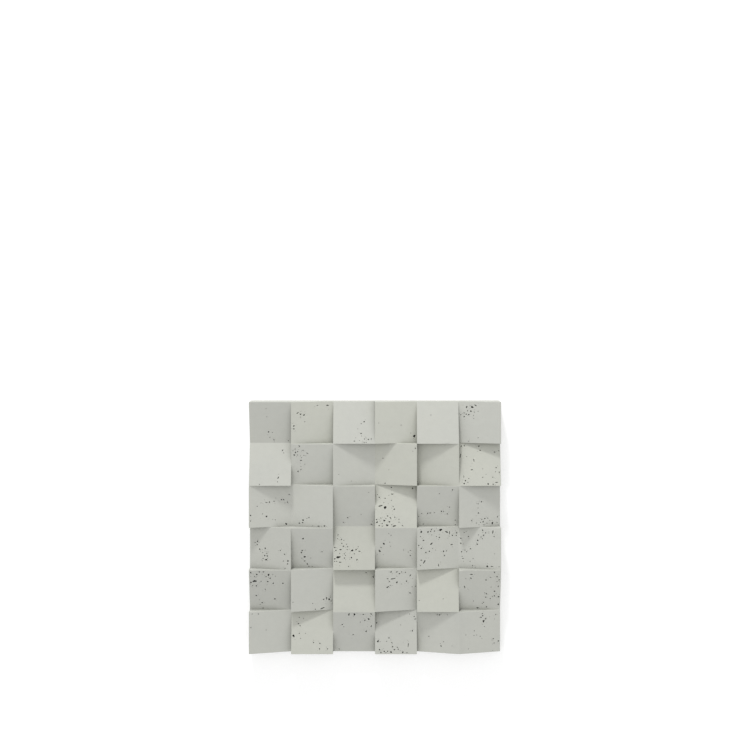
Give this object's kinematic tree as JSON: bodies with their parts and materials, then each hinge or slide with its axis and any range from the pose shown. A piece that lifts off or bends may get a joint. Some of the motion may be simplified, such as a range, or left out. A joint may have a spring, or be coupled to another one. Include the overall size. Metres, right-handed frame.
{
  "type": "3d wall panel tile",
  "caption": "square cast concrete wall panel with a flat back and a face of sloping square blocks turned different ways, laid edge to edge as wall cladding",
  "frame": {"origin": "middle of the flat back face, which lies on the ground", "axes": "+X to the right and +Y to the top of the panel as it hangs on a wall, +Z out of the wall"},
  "size_m": [0.6, 0.6, 0.04],
  "materials": {
    "concrete": "matte"
  },
  "bodies": {
    "root": {"wall_panel": "concrete"}
  },
  "joints": []
}
